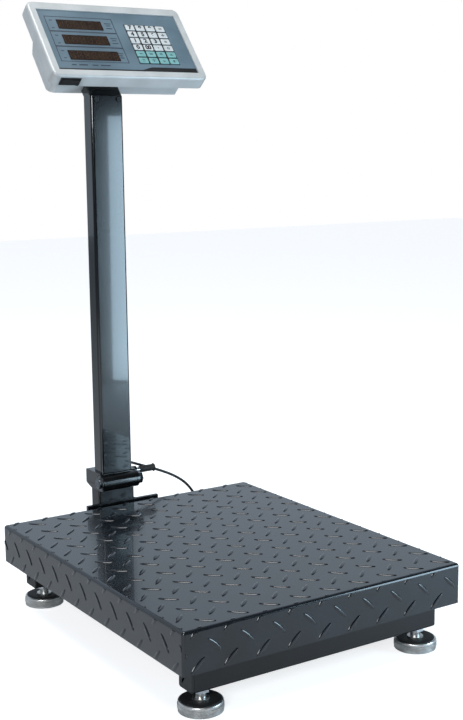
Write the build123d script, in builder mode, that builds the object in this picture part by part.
from build123d import *
import os
from math import cos, pi, radians, sin, tan

os.makedirs("parts", exist_ok=True)

# Platform scale with a folding column. Millimetres, +Z up, floor at Z = 0, the operator stands
# on the -Y side, and the origin is under the middle of the whole footprint.

# ---- driving sizes: weighing deck and its frame ----
platter_width = 400.0       # X
platter_depth = 480.0       # Y
skirt_height = 51.0
sheet = 2.5                 # tread plate
bend_radius = 4.0
inner_bend_radius = 1.5

foot_reach = 27.0           # floor to the underside of the cross tubes
disc_radius = 26.0
disc_height = 13.0
disc_edge = 2.0
disc_boss_radius = 10.0
disc_boss_height = 2.0
stud_radius = 6.0
stud_grip = 24.0            # stud above the underside of the tube
stud_clearance = 0.05
lock_nut_flats = 18.0
lock_nut_height = 5.0

tube_width = 30.0           # Y
tube_height = 40.0          # Z
tube_wall = 2.0
tube_corner = 3.0
tube_end_gap = 25.0         # platter side to tube end
tube_inset = 34.0           # platter edge to tube centre
foot_inset = 17.0           # tube end to foot centre

beam_width = 60.0
beam_height = 20.0
beam_wall = 4.0
pad_height = 5.0
pad_length = 40.0
cell_length = 150.0
cell_width = 38.0
cell_height = 35.0
cell_bore_radius = 10.0
cell_bore_spacing = 28.0
cell_slot = 5.0             # slot between the bores
cell_bolt_spacing = 20.0
cell_bolt_grip = 15.0       # bolt inside the load cell
rail_size = 25.0
rail_wall = 2.0
rail_inset_x = 70.0         # platter side to rail centre
rail_end_gap = 40.0         # platter edge to rail end
cross_bar_width = 60.0
cushion_radius = 12.0
cushion_height = 6.5
cushion_inset = 20.0        # rail end to cushion centre

# ---- driving sizes: post, hinge and column ----
post_x = -18.0              # the post stands left of the middle
post_gap = 4.0              # platter edge to the bracket
bracket_sheet = 5.0
bracket_width = 116.0
bracket_offset = 8.0        # bracket centre right of the post centre
bracket_foot = 6.0          # thickness of the bracket's foot plate
bracket_rise = 3.0          # bracket above the platter
bracket_bolt_spacing = 80.0
bracket_bolt_length = 22.0
column_width = 50.0
column_depth = 25.0
column_wall = 1.5
column_corner = 4.0
column_rise = 583.0         # platter to the column's top
column_step = 3.0           # column front ahead of the post front
column_clearance = 0.2
post_depth = 25.0
post_wall = 3.0
seat_wall = 4.0             # seat around the column
seat_tail = 15.0            # seats behind the post
hinge_rise = 34.0           # hinge axis above the platter
hinge_lead = 6.0            # hinge axis ahead of the post front
barrel_radius = 12.0
parting_drop = 4.5          # seats part this far below the hinge axis
tail_edge = 2.2             # thickness of the lower seat's rear edge
seat_gap = 0.3
upper_seat_height = 18.0
pocket_drop = 7.0           # depth of the column's pocket
lug_width = 3.6
lug_gap = 0.4
pin_radius = 5.0
pin_clearance = 0.05
pin_head_radius = 7.5
pin_head_height = 4.0
washer_radius = 10.5
washer_sheet = 1.5
hinge_nut_flats = 15.0
hinge_nut_height = 6.5

# ---- driving sizes: latch ----
latch_radius = 3.5
latch_chamfer = 0.9
latch_clearance = 0.05
latch_rise = 5.2            # latch axis above the parting face
latch_inset = 8.0           # latch axis ahead of the seat's rear face
latch_travel = 10.0
catch_width = 5.0
catch_offset = 12.0         # left face of the catch, right of the post centre
catch_gap = 0.5             # beside the catch
catch_clearance = 0.6       # round the latch pin
catch_cheek = 2.4
catch_front_gap = 1.0
latch_nose = 3.0            # pin past the catch
boss_length = 20.0
boss_radius = 6.5
boss_bore_radius = 5.0
boss_end = 2.0
collar_radius = 4.6
collar_width = 2.0
spring_wire = 0.9
spring_turns = 5.0
grip_gap = 7.0              # boss to grip with the latch home
grip_length = 25.0
grip_radius = 5.0
grip_flare = 1.2
grip_cap = 8.0              # solid end of the grip

# ---- driving sizes: display head ----
panel_tilt = 39.3           # degrees from upright
panel_width = 219.0
panel_height = 110.0
panel_sheet = 1.2
panel_gap = 0.2
head_offset = 30.5          # panel's middle right of the post's centre
bezel_width = 242.0
bezel_height = 136.0
bezel_lift = 1.5            # bezel's middle above the panel's
bezel_corner = 10.0
bezel_edge = 3.5
rim_rise = 1.5
shell_wall = 2.0
front_depth = 18.5
rear_width = 203.0
rear_top = 64.0             # above the panel's middle
rear_bottom = 46.5          # below the panel's middle
rear_corner = 8.0
back_depth = 33.0           # upper back
bulge_top = 31.0
bulge_slope = 24.0
bulge_bottom = 34.0
bottom_depth = 54.5

# ---- driving sizes: neck between the column and the head ----
neck_front = 33.0           # behind the panel's face
neck_drop = 70.0            # neck's front lower edge below the panel's middle
neck_depth = 20.5
neck_wall = 2.0
neck_floor = 3.0
neck_top = 15.0             # above the panel's middle
neck_clearance = 0.3
plug_length = 20.0          # inside the column
mount_sheet = 3.0
mount_width = 72.0
mount_height = 50.0
mount_u = -3.0
mount_boss_radius = 4.0
mount_boss_rise = 3.5       # from the mount plate to the rear cover's inside
mount_boss_x = 58.0         # between bosses
mount_boss_u = 38.0
mount_screw_radius = 2.0
mount_screw_head = 3.4
mount_screw_head_height = 1.8
column_screw_spacing = 35.0
column_screw_drop = 4.5     # below the column's top
column_screw_length = 8.0

# the rear cover's lower back is as deep as the neck, its plate and the bosses need
mount_back = neck_front + neck_depth + mount_sheet
bulge_depth = mount_back + mount_boss_rise + shell_wall

key_columns = 4
key_rows = 6
key_pitch_x = 16.44
key_pitch_u = 12.36
keypad_x = 52.2
keypad_u = -2.85
key_width = 13.9
key_height = 10.0
key_corner = 1.2
key_clearance = 0.35
key_rise = 1.0
key_edge = 0.3
key_flange = 0.8            # wider than the cap, each side
key_flange_height = 1.0
key_stem = 3.5
key_travel = 0.8
key_play = 0.3
key_names = [
    ["7", "8", "9", "clear"],
    ["4", "5", "6", "add"],
    ["1", "2", "3", "total"],
    ["0", "00", "point", "hold"],
    ["memory_1", "memory_2", "memory_3", "memory_4"],
    ["zero", "tare", "unit", "light"],
]

window_height = 17.0
windows = [(-85.0, -16.0, 29.0), (-85.0, -15.5, 1.0), (-86.0, -9.0, -27.5)]
module_gap = 0.6
board_width = 197.0
board_height = 96.0
board_sheet = 1.6
board_post_radius = 3.0
board_post_inset = 5.0
battery_size = (66.0, 36.0, 24.0)
battery_x = 58.0
battery_u = -6.0

switch_x = -94.5
switch_length = 30.0
switch_height = 13.0
switch_body_depth = 11.0
switch_frame = 1.2
rocker_gap = 0.5
rocker_tilt = 7.0           # degrees either side of level
rocker_drop = 1.0           # pivot inside the shell's face
rocker_valley = 2.6         # middle of the rocker above its pivot
rocker_skirt = 3.0

# ---- driving sizes: load cell cable ----
cable_radius = 2.0
bend_share = 0.45           # of the shorter run at a corner, taken up by its bend
gland_x = 140.0
gland_radius = 6.0
gland_flats = 16.0
gland_flange = 4.0
gland_cap_radius = 6.5
gland_cap_length = 10.0
grommet_x = -24.0
grommet_rise = 8.0          # above the upper seat
grommet_radius = 4.0
grommet_flange = 6.0
grommet_sheet = 2.0

m8_radius = 4.0
m8_flats = 13.0
m8_head = 5.3

# ---- levels and places that follow ----
tube_bottom = foot_reach
tube_top = tube_bottom + tube_height
cell_bottom = tube_bottom + beam_wall + pad_height
cell_top = cell_bottom + cell_height
rail_bottom = cell_top + pad_height
rail_top = rail_bottom + rail_size
platter_under = rail_top + cushion_height
platter_top = platter_under + sheet

tilt = radians(panel_tilt)
panel_back = neck_drop * sin(tilt) - neck_front * cos(tilt)
head_back = panel_back + bulge_top * sin(tilt) + bulge_depth * cos(tilt)
rear_reach = post_gap + bracket_sheet - column_step + head_back
deck_y = -rear_reach / 2
deck_front = deck_y - platter_depth / 2
deck_back = deck_y + platter_depth / 2
front_tube_y = deck_front + tube_inset
rear_tube_y = deck_back - tube_inset
tube_length = platter_width - 2 * tube_end_gap
foot_x = tube_length / 2 - foot_inset

post_front = deck_back + post_gap + bracket_sheet
post_rear = post_front + post_depth
seat_rear = post_rear + seat_tail
seat_width = column_width + 2 * seat_wall
seat_left = post_x - seat_width / 2
seat_right = post_x + seat_width / 2
column_front = post_front - column_step
column_rear = column_front + column_depth
column_y = column_front + column_depth / 2

hinge_y = post_front - hinge_lead
hinge_z = platter_top + hinge_rise
lower_seat_bottom = hinge_z - barrel_radius
lower_seat_top = hinge_z - parting_drop
upper_seat_bottom = lower_seat_top + seat_gap
upper_seat_top = upper_seat_bottom + upper_seat_height
pocket_floor = upper_seat_top - pocket_drop

latch_y = seat_rear - latch_inset
latch_z = lower_seat_top + latch_rise
catch_left = post_x + catch_offset
catch_right = catch_left + catch_width
nose_x = catch_left - latch_nose
collar_x = seat_right + lug_gap
spring_x = collar_x + collar_width
boss_x = seat_right + boss_length
spring_length = boss_x - boss_end - spring_x
grip_x = boss_x + grip_gap
grip_end = grip_x + grip_length

column_top = platter_top + column_rise
panel_x = post_x + head_offset
panel_y = column_front + panel_back
panel_z = column_top + neck_drop * cos(tilt) + neck_front * sin(tilt)
panel = Plane(origin=(panel_x, panel_y, panel_z), x_dir=(1, 0, 0), z_dir=(0, -cos(tilt), sin(tilt)))
bezel = Plane(origin=panel.from_local_coords((0, bezel_lift)), x_dir=(1, 0, 0), z_dir=panel.z_dir)
face_back = panel_sheet + shell_wall
flange_top = panel_sheet + key_play
board_top = flange_top + key_flange_height + key_stem + key_travel + key_play
side = Plane(origin=panel.origin, x_dir=panel.y_dir, z_dir=(-1, 0, 0))
lower_side = Plane(
    origin=panel.from_local_coords((switch_x, bezel_lift - bezel_height / 2, -front_depth / 2)),
    x_dir=(1, 0, 0),
    z_dir=-panel.y_dir,
)
across = Plane(origin=panel.origin, x_dir=(1, 0, 0), z_dir=panel.y_dir)
switch_inner_length = switch_length - 2 * switch_frame
switch_inner_height = switch_height - 2 * switch_frame

foot_places = {
    "front_left": (-foot_x, front_tube_y),
    "front_right": (foot_x, front_tube_y),
    "rear_left": (-foot_x, rear_tube_y),
    "rear_right": (foot_x, rear_tube_y),
}


# ---- shapes that are used more than once ----
def hex_bolt(radius, flats, head_height, length):
    """A hexagon bolt: head above the seat plane, shank below it."""
    with BuildPart() as bolt:
        with BuildSketch():
            RegularPolygon(flats / 2, 6, major_radius=False)
        extrude(amount=head_height)
        with BuildSketch():
            Circle(radius)
        extrude(amount=-length)
    return bolt.part


def cross_tube(y):
    """A cross tube of the base with a hole for each foot's stud in its lower wall."""
    with BuildPart() as tube:
        with BuildSketch(Plane.YZ.offset(-tube_length / 2)):
            with Locations((y, tube_bottom + tube_height / 2)):
                RectangleRounded(tube_width, tube_height, tube_corner)
                RectangleRounded(
                    tube_width - 2 * tube_wall,
                    tube_height - 2 * tube_wall,
                    tube_corner / 2,
                    mode=Mode.SUBTRACT,
                )
        extrude(amount=tube_length)
        with Locations((-foot_x, y, tube_bottom + tube_wall), (foot_x, y, tube_bottom + tube_wall)):
            Hole(stud_radius + stud_clearance, depth=tube_wall)
    return tube.part


def rear_form(inset, front):
    """The rear cover's form, smaller by the inset all round, from the given depth backwards."""
    with BuildPart() as form:
        with BuildSketch(side):
            with BuildLine():
                Polyline(
                    (rear_top, front - inset),
                    (rear_top, back_depth),
                    (bulge_top + bulge_slope, back_depth),
                    (bulge_top, bulge_depth),
                    (-bulge_bottom, bulge_depth),
                    (-rear_bottom, bottom_depth),
                    (-rear_bottom, front - inset),
                    close=True,
                )
            make_face()
            if inset:
                offset(amount=-inset, kind=Kind.INTERSECTION, mode=Mode.REPLACE)
        extrude(amount=rear_width / 2 - inset, both=True)
        with BuildSketch(panel.offset(-front)):
            with Locations((0, (rear_top - rear_bottom) / 2)):
                RectangleRounded(
                    rear_width - 2 * inset,
                    rear_top + rear_bottom - 2 * inset,
                    rear_corner - inset,
                )
        extrude(amount=-bulge_depth, mode=Mode.INTERSECT)
    return form.part


def neck_form(inset, floor):
    """The neck's form, smaller by the inset all round, from the given level upwards."""
    with BuildPart() as form:
        with BuildSketch(across.offset(neck_top)):
            with Locations((-head_offset, neck_front + neck_depth / 2)):
                RectangleRounded(column_width - 2 * inset, neck_depth - 2 * inset, column_corner - inset)
        extrude(amount=-(neck_top + neck_drop + neck_depth))
        split(bisect_by=Plane.XY.offset(floor), keep=Keep.TOP)
    return form.part


# ---- base frame ----
with BuildPart() as front_cross_tube:
    add(cross_tube(front_tube_y))
front_cross_tube.part.label = "front_cross_tube"
export_step(front_cross_tube.part, "parts/front_cross_tube.step")

bracket_x = post_x + bracket_offset
bracket_bolt_x = [bracket_x - bracket_bolt_spacing / 2, bracket_x + bracket_bolt_spacing / 2]
gland_z = tube_bottom + tube_height / 2

with BuildPart() as rear_cross_tube:
    add(cross_tube(rear_tube_y))
    with Locations(*[(x, rear_tube_y, tube_bottom + tube_wall) for x in bracket_bolt_x]):
        Hole(m8_radius, depth=tube_wall)
    with BuildSketch(Plane.XZ.offset(-(rear_tube_y + tube_width / 2))):
        with Locations((gland_x, gland_z)):
            Circle(gland_radius)
    extrude(amount=tube_wall, mode=Mode.SUBTRACT)
rear_cross_tube.part.label = "rear_cross_tube"
export_step(rear_cross_tube.part, "parts/rear_cross_tube.step")

# The centre beam is a channel that carries the load cell's fixed end on a welded pad.
cell_rear_y = deck_y + cell_length / 2 - pad_length / 2
cell_front_y = deck_y - cell_length / 2 + pad_length / 2
rear_bolts = [(0, cell_rear_y - cell_bolt_spacing / 2), (0, cell_rear_y + cell_bolt_spacing / 2)]
front_bolts = [(0, cell_front_y - cell_bolt_spacing / 2), (0, cell_front_y + cell_bolt_spacing / 2)]
beam_length = rear_tube_y - front_tube_y - tube_width

with BuildPart() as centre_beam:
    with BuildSketch(Plane.XZ.offset(-(deck_y + beam_length / 2))):
        with Locations((0, tube_bottom)):
            Rectangle(beam_width, beam_height, align=(Align.CENTER, Align.MIN))
        with Locations((0, tube_bottom + beam_wall)):
            Rectangle(
                beam_width - 2 * beam_wall,
                beam_height,
                align=(Align.CENTER, Align.MIN),
                mode=Mode.SUBTRACT,
            )
    extrude(amount=beam_length)
    with BuildSketch(Plane.XY.offset(tube_bottom + beam_wall)):
        with Locations((0, cell_rear_y)):
            Rectangle(cell_width, pad_length)
    extrude(amount=pad_height)
    with Locations(*[(x, y, cell_bottom) for x, y in rear_bolts]):
        Hole(m8_radius, depth=pad_height + beam_wall)
centre_beam.part.label = "centre_beam"
export_step(centre_beam.part, "parts/centre_beam.step")

with BuildPart() as load_cell:
    with BuildSketch(Plane.YZ.offset(-cell_width / 2)):
        with Locations((deck_y, cell_bottom + cell_height / 2)):
            Rectangle(cell_length, cell_height)
            with Locations((-cell_bore_spacing / 2, 0), (cell_bore_spacing / 2, 0)):
                Circle(cell_bore_radius, mode=Mode.SUBTRACT)
            Rectangle(cell_bore_spacing, cell_slot, mode=Mode.SUBTRACT)
    extrude(amount=cell_width)
    with Locations(*[(x, y, cell_bottom + cell_bolt_grip) for x, y in rear_bolts]):
        Hole(m8_radius, depth=cell_bolt_grip)
    with Locations(*[(x, y, cell_top) for x, y in front_bolts]):
        Hole(m8_radius, depth=cell_bolt_grip)
load_cell.part.label = "load_cell"
export_step(load_cell.part, "parts/load_cell.step")

# The moving end of the load cell carries the upper frame: a cross bar between two side rails.
rail_x = platter_width / 2 - rail_inset_x
rail_length = platter_depth - 2 * rail_end_gap

with BuildPart() as upper_frame:
    with BuildSketch(Plane.XZ.offset(-(deck_y + rail_length / 2))):
        with Locations((-rail_x, rail_bottom + rail_size / 2), (rail_x, rail_bottom + rail_size / 2)):
            Rectangle(rail_size, rail_size)
            Rectangle(rail_size - 2 * rail_wall, rail_size - 2 * rail_wall, mode=Mode.SUBTRACT)
    extrude(amount=rail_length)
    with BuildSketch(Plane.YZ.offset(rail_size / 2 - rail_x)):
        with Locations((cell_front_y, rail_bottom + rail_size / 2)):
            Rectangle(cross_bar_width, rail_size)
            Rectangle(cross_bar_width - 2 * rail_wall, rail_size - 2 * rail_wall, mode=Mode.SUBTRACT)
    extrude(amount=2 * rail_x - rail_size)
    with BuildSketch(Plane.XY.offset(cell_top)):
        with Locations((0, cell_front_y)):
            Rectangle(cell_width, pad_length)
    extrude(amount=pad_height)
    with Locations(*[(x, y, rail_top) for x, y in front_bolts]):
        Hole(m8_radius, depth=rail_size + pad_height)
upper_frame.part.label = "upper_frame"
export_step(upper_frame.part, "parts/upper_frame.step")

lower_bolt = hex_bolt(m8_radius, m8_flats, m8_head, beam_wall + pad_height + cell_bolt_grip)
upper_bolt = hex_bolt(m8_radius, m8_flats, m8_head, rail_size + pad_height + cell_bolt_grip)
upside_down = (180, 0, 0)

with BuildPart() as load_cell_bolts:
    with Locations(*[Location((x, y, tube_bottom), upside_down) for x, y in rear_bolts]):
        add(lower_bolt)
    with Locations(*[Location((x, y, rail_top)) for x, y in front_bolts]):
        add(upper_bolt)
load_cell_bolts.part.label = "load_cell_bolts"
export_step(load_cell_bolts.part, "parts/load_cell_bolts.step")

cushion_y = rail_length / 2 - cushion_inset
with BuildPart() as platter_cushions:
    with BuildSketch(Plane.XY.offset(rail_top)):
        with Locations((0, deck_y)):
            with GridLocations(2 * rail_x, 2 * cushion_y, 2, 2):
                Circle(cushion_radius)
    extrude(amount=cushion_height)
platter_cushions.part.label = "platter_cushions"
export_step(platter_cushions.part, "parts/platter_cushions.step")

# ---- platter: a lid of tread plate folded down on all four sides ----
with BuildPart() as platter_hollow:
    with BuildSketch(Plane.XY.offset(platter_under)):
        with Locations((0, deck_y)):
            Rectangle(platter_width - 2 * sheet, platter_depth - 2 * sheet)
    extrude(amount=-skirt_height)
    fillet(
        platter_hollow.edges().filter_by(Axis.Z) + platter_hollow.faces().sort_by(Axis.Z)[-1].edges(),
        inner_bend_radius,
    )

with BuildPart() as platter:
    with BuildSketch(Plane.XY.offset(platter_top)):
        with Locations((0, deck_y)):
            Rectangle(platter_width, platter_depth)
    extrude(amount=-skirt_height)
    fillet(platter.edges().filter_by(Axis.Z) + platter.faces().sort_by(Axis.Z)[-1].edges(), bend_radius)
    add(platter_hollow.part, mode=Mode.SUBTRACT)
platter.part.label = "platter"
export_step(platter.part, "parts/platter.step")

# ---- levelling feet ----
for place, (x, y) in foot_places.items():
    with BuildPart() as foot:
        with BuildSketch():
            with Locations((x, y)):
                Circle(disc_radius)
        extrude(amount=disc_height)
        fillet(foot.faces().sort_by(Axis.Z)[-1].edges(), disc_edge)
        with BuildSketch(Plane.XY.offset(disc_height)):
            with Locations((x, y)):
                Circle(disc_boss_radius)
        extrude(amount=disc_boss_height)
        with BuildSketch(Plane.XY.offset(disc_height)):
            with Locations((x, y)):
                Circle(stud_radius)
        extrude(amount=foot_reach - disc_height + stud_grip)
    foot.part.label = f"foot_{place}"
    export_step(foot.part, f"parts/foot_{place}.step")

with BuildPart() as foot_lock_nuts:
    with BuildSketch(Plane.XY.offset(tube_bottom)):
        with Locations(*foot_places.values()):
            RegularPolygon(lock_nut_flats / 2, 6, major_radius=False)
            Circle(stud_radius + stud_clearance, mode=Mode.SUBTRACT)
    extrude(amount=-lock_nut_height)
foot_lock_nuts.part.label = "foot_lock_nuts"
export_step(foot_lock_nuts.part, "parts/foot_lock_nuts.step")

# ---- post bracket and post ----
bracket_under = tube_bottom - bracket_foot

with BuildPart() as post_bracket:
    with BuildSketch(Plane.YZ.offset(bracket_x - bracket_width / 2)):
        with BuildLine():
            Polyline(
                (rear_tube_y - tube_width / 2, bracket_under),
                (post_rear, bracket_under),
                (post_rear, tube_bottom),
                (post_front, tube_bottom),
                (post_front, platter_top + bracket_rise),
                (post_front - bracket_sheet, platter_top + bracket_rise),
                (post_front - bracket_sheet, tube_bottom),
                (rear_tube_y - tube_width / 2, tube_bottom),
                close=True,
            )
        make_face()
    extrude(amount=bracket_width)
    with Locations(*[(x, rear_tube_y, tube_bottom) for x in bracket_bolt_x]):
        Hole(m8_radius, depth=bracket_foot)
post_bracket.part.label = "post_bracket"
export_step(post_bracket.part, "parts/post_bracket.step")

bracket_bolt = hex_bolt(m8_radius, m8_flats, m8_head, bracket_bolt_length)
with BuildPart() as bracket_bolts:
    with Locations(*[Location((x, rear_tube_y, bracket_under), upside_down) for x in bracket_bolt_x]):
        add(bracket_bolt)
bracket_bolts.part.label = "bracket_bolts"
export_step(bracket_bolts.part, "parts/bracket_bolts.step")

with BuildPart() as post:
    with BuildSketch(Plane.XY.offset(tube_bottom)):
        with Locations((post_x, post_front + post_depth / 2)):
            RectangleRounded(seat_width, post_depth, post_wall)
            Rectangle(seat_width - 2 * post_wall, post_depth - 2 * post_wall, mode=Mode.SUBTRACT)
    extrude(amount=lower_seat_bottom - tube_bottom)
post.part.label = "post"
export_step(post.part, "parts/post.step")

# ---- lower seat: closes the post, carries the outer hinge lugs and the latch's catch ----
catch_half = latch_radius + catch_clearance + catch_cheek

with BuildPart() as lower_hinge_seat:
    with BuildSketch(Plane.YZ.offset(seat_left)):
        with BuildLine():
            Polyline(
                (hinge_y, lower_seat_bottom),
                (post_rear, lower_seat_bottom),
                (seat_rear, lower_seat_top - tail_edge),
                (seat_rear, lower_seat_top),
                (hinge_y, lower_seat_top),
                close=True,
            )
        make_face()
    extrude(amount=seat_width)
    with BuildSketch(Plane.YZ.offset(seat_left)):
        with Locations((hinge_y, hinge_z)):
            Circle(barrel_radius)
    extrude(amount=lug_width)
    with BuildSketch(Plane.YZ.offset(seat_right)):
        with Locations((hinge_y, hinge_z)):
            Circle(barrel_radius)
    extrude(amount=-lug_width)
    # room for the column's barrel between the lugs
    with BuildSketch(Plane.YZ.offset(seat_left + lug_width)):
        with Locations((hinge_y, hinge_z)):
            Circle(barrel_radius + lug_gap)
        with Locations((hinge_y - barrel_radius, hinge_z)):
            Rectangle(2 * barrel_radius, 2 * barrel_radius + lug_gap)
    extrude(amount=seat_width - 2 * lug_width, mode=Mode.SUBTRACT)
    with BuildSketch(Plane.YZ.offset(seat_left)):
        with Locations((hinge_y, hinge_z)):
            Circle(pin_radius)
    extrude(amount=seat_width, mode=Mode.SUBTRACT)
    # catch: a cradle for the latch pin, open at the top
    with BuildSketch(Plane.YZ.offset(catch_left)):
        with Locations((latch_y, lower_seat_top)):
            Rectangle(2 * catch_half, latch_rise, align=(Align.CENTER, Align.MIN))
        with Locations((latch_y, latch_z)):
            Circle(latch_radius + catch_clearance, mode=Mode.SUBTRACT)
    extrude(amount=catch_width)
lower_hinge_seat.part.label = "lower_hinge_seat"
export_step(lower_hinge_seat.part, "parts/lower_hinge_seat.step")

with BuildPart() as hinge_pin:
    with BuildSketch(Plane.YZ.offset(seat_left - washer_sheet)):
        with Locations((hinge_y, hinge_z)):
            Circle(pin_head_radius)
    extrude(amount=-pin_head_height)
    fillet(hinge_pin.faces().sort_by(Axis.X)[0].edges(), pin_head_height / 2)
    with BuildSketch(Plane.YZ.offset(seat_left - washer_sheet)):
        with Locations((hinge_y, hinge_z)):
            Circle(pin_radius)
    extrude(amount=seat_width + 2 * washer_sheet + hinge_nut_height)
hinge_pin.part.label = "hinge_pin"
export_step(hinge_pin.part, "parts/hinge_pin.step")

with BuildPart() as hinge_fasteners:
    for x in (seat_left - washer_sheet, seat_right):
        with BuildSketch(Plane.YZ.offset(x)):
            with Locations((hinge_y, hinge_z)):
                Circle(washer_radius)
                Circle(pin_radius, mode=Mode.SUBTRACT)
        extrude(amount=washer_sheet)
    nut_x = seat_right + washer_sheet
    with BuildSketch(Plane.YZ.offset(nut_x)):
        with Locations((hinge_y, hinge_z)):
            RegularPolygon(hinge_nut_flats / 2, 6, major_radius=False)
            Circle(pin_radius, mode=Mode.SUBTRACT)
    extrude(amount=hinge_nut_height)
hinge_fasteners.part.label = "hinge_fasteners"
export_step(hinge_fasteners.part, "parts/hinge_fasteners.step")

# ---- upper seat: holds the column, carries the middle barrel and the latch's boss ----
barrel_width = seat_width - 2 * lug_width - 2 * lug_gap

with BuildPart() as upper_hinge_seat:
    with BuildSketch(Plane.YZ.offset(seat_left)):
        with BuildLine():
            Polyline(
                (hinge_y, upper_seat_bottom),
                (seat_rear, upper_seat_bottom),
                (seat_rear, upper_seat_top),
                (hinge_y, upper_seat_top),
                close=True,
            )
        make_face()
    extrude(amount=seat_width)
    fillet(upper_hinge_seat.edges().filter_by(Axis.X).group_by(Axis.Z)[-1], seat_wall / 2)
    with BuildSketch(Plane.YZ.offset(seat_left)):
        with Locations((hinge_y, hinge_z)):
            Circle(barrel_radius + lug_gap)
    extrude(amount=lug_width + lug_gap, mode=Mode.SUBTRACT)
    with BuildSketch(Plane.YZ.offset(seat_right)):
        with Locations((hinge_y, hinge_z)):
            Circle(barrel_radius + lug_gap)
    extrude(amount=-(lug_width + lug_gap), mode=Mode.SUBTRACT)
    with BuildSketch(Plane.YZ.offset(seat_left + lug_width + lug_gap)):
        with Locations((hinge_y, hinge_z)):
            Circle(barrel_radius)
    extrude(amount=barrel_width)
    with BuildSketch(Plane.YZ.offset(seat_left)):
        with Locations((hinge_y, hinge_z)):
            Circle(pin_radius + pin_clearance)
    extrude(amount=seat_width, mode=Mode.SUBTRACT)
    # pocket for the column
    with BuildSketch(Plane.XY.offset(pocket_floor)):
        with Locations((post_x, column_y)):
            RectangleRounded(column_width, column_depth, column_corner)
    extrude(amount=barrel_radius + pocket_drop, mode=Mode.SUBTRACT)
    # slot that the catch stands in, open below and behind
    with BuildSketch(Plane.YZ.offset(catch_left - catch_gap)):
        with Locations((latch_y - catch_half - catch_front_gap, upper_seat_bottom)):
            Rectangle(
                2 * seat_tail,
                latch_rise + latch_radius + catch_clearance,
                align=(Align.MIN, Align.MIN),
            )
    extrude(amount=catch_width + 2 * catch_gap, mode=Mode.SUBTRACT)
    # boss for the latch spring, and the latch's bore
    with BuildSketch(Plane.YZ.offset(seat_right)):
        with Locations((latch_y, latch_z)):
            Circle(boss_radius)
            Circle(boss_bore_radius, mode=Mode.SUBTRACT)
    extrude(amount=boss_length)
    with BuildSketch(Plane.YZ.offset(boss_x - boss_end)):
        with Locations((latch_y, latch_z)):
            Circle(boss_radius)
    extrude(amount=boss_end)
    with BuildSketch(Plane.YZ.offset(nose_x - catch_gap)):
        with Locations((latch_y, latch_z)):
            Circle(latch_radius + latch_clearance)
    extrude(amount=boss_x - nose_x + catch_gap, mode=Mode.SUBTRACT)
upper_hinge_seat.part.label = "upper_hinge_seat"
export_step(upper_hinge_seat.part, "parts/upper_hinge_seat.step")

# ---- latch: a sprung pin that is pulled to the right ----
with BuildPart() as latch_pin:
    with BuildSketch(Plane.YZ.offset(nose_x)):
        with Locations((latch_y, latch_z)):
            Circle(latch_radius)
    extrude(amount=grip_end - grip_cap - nose_x)
    chamfer(latch_pin.faces().sort_by(Axis.X)[0].edges(), latch_chamfer)
    with BuildSketch(Plane.YZ.offset(collar_x)):
        with Locations((latch_y, latch_z)):
            Circle(collar_radius)
    extrude(amount=collar_width)
latch_pin.part.label = "latch_pin"
export_step(latch_pin.part, "parts/latch_pin.step")

coil_radius = (latch_radius + boss_bore_radius) / 2
coil_height = spring_length - spring_wire
coil_start = (spring_x + spring_wire / 2, latch_y, latch_z)

with BuildPart() as latch_spring:
    with BuildLine() as coil:
        Helix(coil_height / spring_turns, coil_height, coil_radius, center=coil_start, direction=(1, 0, 0))
    with BuildSketch(Plane(origin=coil.line @ 0, z_dir=coil.line % 0)):
        Circle(spring_wire / 2)
    sweep(is_frenet=True)
latch_spring.part.label = "latch_spring"
export_step(latch_spring.part, "parts/latch_spring.step")

with BuildPart() as latch_grip:
    with BuildSketch(Plane.XZ.offset(-latch_y)):
        with BuildLine():
            Polyline(
                (grip_x, latch_z),
                (grip_x, latch_z + grip_radius),
                (grip_end - 2 * grip_flare, latch_z + grip_radius),
                (grip_end - grip_flare, latch_z + grip_radius + grip_flare),
                (grip_end, latch_z + grip_radius),
                (grip_end, latch_z),
                close=True,
            )
        make_face()
    revolve(axis=Axis((0, latch_y, latch_z), (1, 0, 0)))
    with BuildSketch(Plane.YZ.offset(grip_x)):
        with Locations((latch_y, latch_z)):
            Circle(latch_radius)
    extrude(amount=grip_length - grip_cap, mode=Mode.SUBTRACT)
latch_grip.part.label = "latch_grip"
export_step(latch_grip.part, "parts/latch_grip.step")

# ---- column, with the head's neck plugged into its top ----
grommet_z = upper_seat_top + grommet_rise

with BuildPart() as column:
    with BuildSketch(Plane.XY.offset(pocket_floor)):
        with Locations((post_x, column_y)):
            RectangleRounded(column_width, column_depth, column_corner)
            RectangleRounded(
                column_width - 2 * column_wall,
                column_depth - 2 * column_wall,
                column_corner - column_wall,
                mode=Mode.SUBTRACT,
            )
    extrude(amount=column_top - pocket_floor)
    with BuildSketch(Plane.XZ.offset(-column_rear)):
        with Locations((grommet_x, grommet_z)):
            Circle(grommet_radius)
    extrude(amount=column_wall, mode=Mode.SUBTRACT)
    with BuildSketch(Plane.XZ.offset(-column_front)):
        with Locations((post_x, column_top - column_screw_drop)):
            with GridLocations(column_screw_spacing, 1, 2, 1):
                Circle(mount_screw_radius)
    extrude(amount=-column_wall, mode=Mode.SUBTRACT)
column.part.label = "column"
export_step(column.part, "parts/column.step")

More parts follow.
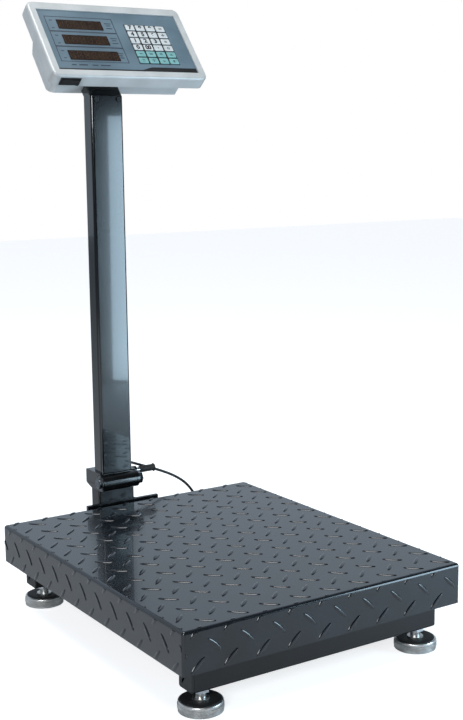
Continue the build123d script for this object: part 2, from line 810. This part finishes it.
with BuildPart() as head_mount:
    add(neck_form(0.0, column_top))
    add(neck_form(neck_wall, column_top + neck_floor), mode=Mode.SUBTRACT)
    with BuildSketch(panel.offset(-(mount_back - mount_sheet))):
        with Locations((-head_offset, mount_u)):
            Rectangle(mount_width, mount_height)
    extrude(amount=-mount_sheet)
    with BuildSketch(panel.offset(-mount_back)):
        with Locations((-head_offset, mount_u)):
            with GridLocations(mount_boss_x, mount_boss_u, 2, 2):
                Circle(mount_screw_radius)
    extrude(amount=mount_sheet, mode=Mode.SUBTRACT)
    with BuildSketch(Plane.XY.offset(column_top)):
        with Locations((post_x, column_y)):
            Rectangle(
                column_width - 2 * column_wall - 2 * neck_clearance,
                column_depth - 2 * column_wall,
            )
            chamfer(vertices(), column_corner - column_wall)
    extrude(amount=-plug_length)
    with BuildSketch(Plane.XZ.offset(-(column_front + column_wall))):
        with Locations((post_x, column_top - column_screw_drop)):
            with GridLocations(column_screw_spacing, 1, 2, 1):
                Circle(mount_screw_radius)
    extrude(amount=-column_screw_length, mode=Mode.SUBTRACT)
head_mount.part.label = "head_mount"
export_step(head_mount.part, "parts/head_mount.step")

with BuildPart() as mount_screws:
    with BuildSketch(Plane.XZ.offset(-column_front)):
        with Locations((post_x, column_top - column_screw_drop)):
            with GridLocations(column_screw_spacing, 1, 2, 1):
                Circle(mount_screw_head)
    extrude(amount=mount_screw_head_height)
    with BuildSketch(Plane.XZ.offset(-column_front)):
        with Locations((post_x, column_top - column_screw_drop)):
            with GridLocations(column_screw_spacing, 1, 2, 1):
                Circle(mount_screw_radius)
    extrude(amount=-(column_wall + column_screw_length))
    with BuildSketch(panel.offset(-bulge_depth)):
        with Locations((-head_offset, mount_u)):
            with GridLocations(mount_boss_x, mount_boss_u, 2, 2):
                Circle(mount_screw_head)
    extrude(amount=-mount_screw_head_height)
    with BuildSketch(panel.offset(-bulge_depth)):
        with Locations((-head_offset, mount_u)):
            with GridLocations(mount_boss_x, mount_boss_u, 2, 2):
                Circle(mount_screw_radius)
    extrude(amount=bulge_depth - mount_back + mount_sheet)
mount_screws.part.label = "mount_screws"
export_step(mount_screws.part, "parts/mount_screws.step")

# ---- head shells ----
keypad_width = key_columns * key_pitch_x + key_flange
keypad_height = key_rows * key_pitch_u + key_flange
board_post_x = board_width / 2 - board_post_inset
board_post_u = board_height / 2 - board_post_inset

with BuildPart() as head_front_shell:
    with BuildSketch(bezel.offset(rim_rise)):
        RectangleRounded(bezel_width, bezel_height, bezel_corner)
    extrude(amount=-(rim_rise + front_depth))
    fillet(head_front_shell.edges().group_by(Axis(panel.origin, panel.z_dir))[-1], bezel_edge)
    with BuildSketch(bezel.offset(-front_depth)):
        RectangleRounded(
            bezel_width - 2 * shell_wall,
            bezel_height - 2 * shell_wall,
            bezel_corner - shell_wall,
        )
    extrude(amount=front_depth - face_back, mode=Mode.SUBTRACT)
    with BuildSketch(panel.offset(rim_rise)):
        Rectangle(panel_width + 2 * panel_gap, panel_height + 2 * panel_gap)
    extrude(amount=-(rim_rise + panel_sheet), mode=Mode.SUBTRACT)
    with BuildSketch(panel.offset(-face_back)):
        for left, right, middle in windows:
            with Locations(((left + right) / 2, middle)):
                Rectangle(right - left + 2 * module_gap, window_height + 2 * module_gap)
        with Locations((keypad_x, keypad_u)):
            Rectangle(keypad_width, keypad_height)
    extrude(amount=shell_wall, mode=Mode.SUBTRACT)
    with BuildSketch(panel.offset(-face_back)):
        with GridLocations(2 * board_post_x, 2 * board_post_u, 2, 2):
            Circle(board_post_radius)
    extrude(amount=-(board_top - face_back))
    # opening for the power switch in the lower side
    with BuildSketch(lower_side):
        Rectangle(switch_inner_length, switch_inner_height)
    extrude(amount=-shell_wall, mode=Mode.SUBTRACT)
head_front_shell.part.label = "head_front_shell"
export_step(head_front_shell.part, "parts/head_front_shell.step")

with BuildPart() as head_rear_shell:
    add(rear_form(0.0, front_depth))
    with BuildSketch(bezel.offset(-front_depth)):
        RectangleRounded(
            bezel_width - 2 * shell_wall - 2 * panel_gap,
            bezel_height - 2 * shell_wall - 2 * panel_gap,
            bezel_corner - shell_wall,
        )
    extrude(amount=shell_wall)
    add(rear_form(shell_wall, front_depth - shell_wall), mode=Mode.SUBTRACT)
    with BuildSketch(panel.offset(-mount_back)):
        with Locations((-head_offset, mount_u)):
            with GridLocations(mount_boss_x, mount_boss_u, 2, 2):
                Circle(mount_boss_radius)
    extrude(amount=-(bulge_depth - shell_wall - mount_back))
    with BuildSketch(panel.offset(-mount_back)):
        with Locations((-head_offset, mount_u)):
            with GridLocations(mount_boss_x, mount_boss_u, 2, 2):
                Circle(mount_screw_radius)
    extrude(amount=-(bulge_depth - mount_back), mode=Mode.SUBTRACT)
    # opening for the neck in the lower side
    with BuildSketch(across):
        with Locations((-head_offset, neck_front + neck_depth / 2)):
            RectangleRounded(
                column_width + 2 * neck_clearance,
                neck_depth + 2 * neck_clearance,
                column_corner + neck_clearance,
            )
    extrude(amount=-(rear_bottom + shell_wall), mode=Mode.SUBTRACT)
head_rear_shell.part.label = "head_rear_shell"
export_step(head_rear_shell.part, "parts/head_rear_shell.step")

# ---- panel, keys, board and battery ----
key_places = {}
for row in range(key_rows):
    for column_number in range(key_columns):
        x = keypad_x + (column_number - (key_columns - 1) / 2) * key_pitch_x
        u = keypad_u + ((key_rows - 1) / 2 - row) * key_pitch_u
        key_places[key_names[row][column_number]] = (x, u)

with BuildPart() as display_panel:
    with BuildSketch(panel):
        Rectangle(panel_width, panel_height)
        with Locations(*key_places.values()):
            RectangleRounded(
                key_width + 2 * key_clearance,
                key_height + 2 * key_clearance,
                key_corner,
                mode=Mode.SUBTRACT,
            )
    extrude(amount=-panel_sheet)
display_panel.part.label = "display_panel"
export_step(display_panel.part, "parts/display_panel.step")

for key_name, place in key_places.items():
    with BuildPart() as key:
        with BuildSketch(panel.offset(key_rise)):
            with Locations(place):
                RectangleRounded(key_width, key_height, key_corner)
        extrude(amount=-(key_rise + flange_top + key_flange_height + key_stem))
        fillet(key.edges().group_by(Axis(panel.origin, panel.z_dir))[-1], key_edge)
        with BuildSketch(panel.offset(-flange_top)):
            with Locations(place):
                Rectangle(key_width + 2 * key_flange, key_height + 2 * key_flange)
        extrude(amount=-key_flange_height)
    key.part.label = f"key_{key_name}"
    export_step(key.part, f"parts/key_{key_name}.step")

# The board carries the three display modules, soldered on.
with BuildPart() as main_board:
    with BuildSketch(panel.offset(-board_top)):
        Rectangle(board_width, board_height)
    extrude(amount=-board_sheet)
    with BuildSketch(panel.offset(-board_top)):
        for left, right, middle in windows:
            with Locations(((left + right) / 2, middle)):
                Rectangle(right - left, window_height)
    extrude(amount=board_top - flange_top)
main_board.part.label = "main_board"
export_step(main_board.part, "parts/main_board.step")

with BuildPart() as battery:
    with BuildSketch(panel.offset(-(bulge_depth - shell_wall))):
        with Locations((battery_x, battery_u)):
            Rectangle(battery_size[0], battery_size[1])
    extrude(amount=battery_size[2])
    fillet(battery.edges().filter_by(Axis(panel.origin, panel.z_dir)), shell_wall)
battery.part.label = "battery"
export_step(battery.part, "parts/battery.step")

# ---- power switch in the lower side of the head ----
opening_length = switch_inner_length - switch_frame
opening_height = switch_inner_height - switch_frame

with BuildPart() as switch_body:
    with BuildSketch(lower_side):
        Rectangle(switch_length, switch_height)
    extrude(amount=switch_frame)
    with BuildSketch(lower_side):
        Rectangle(switch_inner_length, switch_inner_height)
    extrude(amount=-switch_body_depth)
    with BuildSketch(lower_side.offset(switch_frame)):
        Rectangle(opening_length, opening_height)
    extrude(amount=-switch_body_depth, mode=Mode.SUBTRACT)
switch_body.part.label = "switch_body"
export_step(switch_body.part, "parts/switch_body.step")

# The rocker's two faces meet in a shallow valley over its pivot; it rests with one end down.
rocker_pivot = lower_side.offset(-rocker_drop).origin
tipped = radians(rocker_tilt)
rocker_side = Plane(
    origin=rocker_pivot,
    x_dir=lower_side.x_dir * cos(tipped) + lower_side.z_dir * sin(tipped),
    z_dir=-lower_side.y_dir,
)
rocker_radius = opening_length / 2 - rocker_gap
rocker_end = rocker_valley + rocker_radius * tan(tipped)

with BuildPart() as power_rocker:
    with BuildSketch(rocker_side):
        with BuildLine():
            Polyline(
                (-rocker_radius, -rocker_skirt),
                (rocker_radius, -rocker_skirt),
                (rocker_radius, rocker_end),
                (0, rocker_valley),
                (-rocker_radius, rocker_end),
                close=True,
            )
        make_face()
        Circle(rocker_radius, mode=Mode.INTERSECT)
    extrude(amount=opening_height / 2 - rocker_gap, both=True)
power_rocker.part.label = "power_rocker"
export_step(power_rocker.part, "parts/power_rocker.step")

# ---- load cell cable, its gland in the rear tube and its grommet in the column ----
gland_face = rear_tube_y + tube_width / 2
gland_end = gland_face + gland_flange + gland_cap_length

with BuildPart() as cable_gland:
    with BuildSketch(Plane.XZ.offset(-gland_face)):
        with Locations((gland_x, gland_z)):
            RegularPolygon(gland_flats / 2, 6, major_radius=False)
    extrude(amount=-gland_flange)
    with BuildSketch(Plane.XZ.offset(-(gland_face + gland_flange))):
        with Locations((gland_x, gland_z)):
            Circle(gland_cap_radius)
    extrude(amount=-gland_cap_length)
    fillet(cable_gland.faces().sort_by(Axis.Y)[-1].edges(), gland_cap_radius / 2)
    with BuildSketch(Plane.XZ.offset(-gland_face)):
        with Locations((gland_x, gland_z)):
            Circle(gland_radius)
    extrude(amount=tube_wall)
    with BuildSketch(Plane.XZ.offset(-(gland_face - tube_wall))):
        with Locations((gland_x, gland_z)):
            RegularPolygon(gland_flats / 2, 6, major_radius=False)
    extrude(amount=gland_flange)
cable_gland.part.label = "cable_gland"
export_step(cable_gland.part, "parts/cable_gland.step")

with BuildPart() as cable_grommet:
    with BuildSketch(Plane.XZ.offset(-column_rear)):
        with Locations((grommet_x, grommet_z)):
            Circle(grommet_flange)
    extrude(amount=-grommet_sheet)
    fillet(cable_grommet.faces().sort_by(Axis.Y)[-1].edges(), grommet_sheet / 2)
    with BuildSketch(Plane.XZ.offset(-column_rear)):
        with Locations((grommet_x, grommet_z)):
            Circle(grommet_radius)
    extrude(amount=column_wall)
    with BuildSketch(Plane.XZ.offset(-(column_rear - column_wall))):
        with Locations((grommet_x, grommet_z)):
            Circle(grommet_flange)
    extrude(amount=grommet_sheet)
cable_grommet.part.label = "cable_grommet"
export_step(cable_grommet.part, "parts/cable_grommet.step")

cable_route = [
    (grommet_x, column_rear + grommet_sheet, grommet_z),
    (grommet_x, post_rear + 15.5, grommet_z),
    (-10.0, post_rear + 27.0, 165.0),
    (11.0, post_rear + 29.5, 160.0),
    (35.0, post_rear + 26.5, 152.0),
    (58.0, post_rear + 24.0, 143.0),
    (81.0, post_rear + 23.0, 134.0),
    (104.0, post_rear + 22.5, 123.3),
    (125.0, post_rear + 22.0, 109.5),
    (140.0, post_rear + 21.0, 91.5),
    (147.0, post_rear + 16.5, 72.0),
    (147.5, post_rear + 5.5, 56.5),
    (145.0, post_rear - 9.5, 49.0),
    (gland_x, post_rear - 23.5, gland_z),
    (gland_x, gland_end, gland_z),
]

corners = [Vector(point) for point in cable_route]
bend_radii = []
for before, corner, after in zip(corners, corners[1:], corners[2:]):
    arriving = corner - before
    leaving = after - corner
    half_turn = radians(arriving.get_angle(leaving)) / 2
    bend_radii.append(bend_share * min(arriving.length, leaving.length) / tan(half_turn))
print("cable bend radii", [round(radius, 1) for radius in bend_radii])

with BuildPart() as load_cell_cable:
    with BuildLine() as cable_line:
        FilletPolyline(*corners, radius=bend_radii)
    with BuildSketch(Plane(origin=cable_line.line @ 0, z_dir=cable_line.line % 0)):
        Circle(cable_radius)
    sweep()
load_cell_cable.part.label = "load_cell_cable"
export_step(load_cell_cable.part, "parts/load_cell_cable.step")
cable_length = sum(edge.length for edge in cable_line.edges())
cable_volume = pi * cable_radius**2 * cable_length
print("cable length", round(cable_length, 1))
print("cable volume", round(load_cell_cable.part.volume), "of", round(cable_volume))
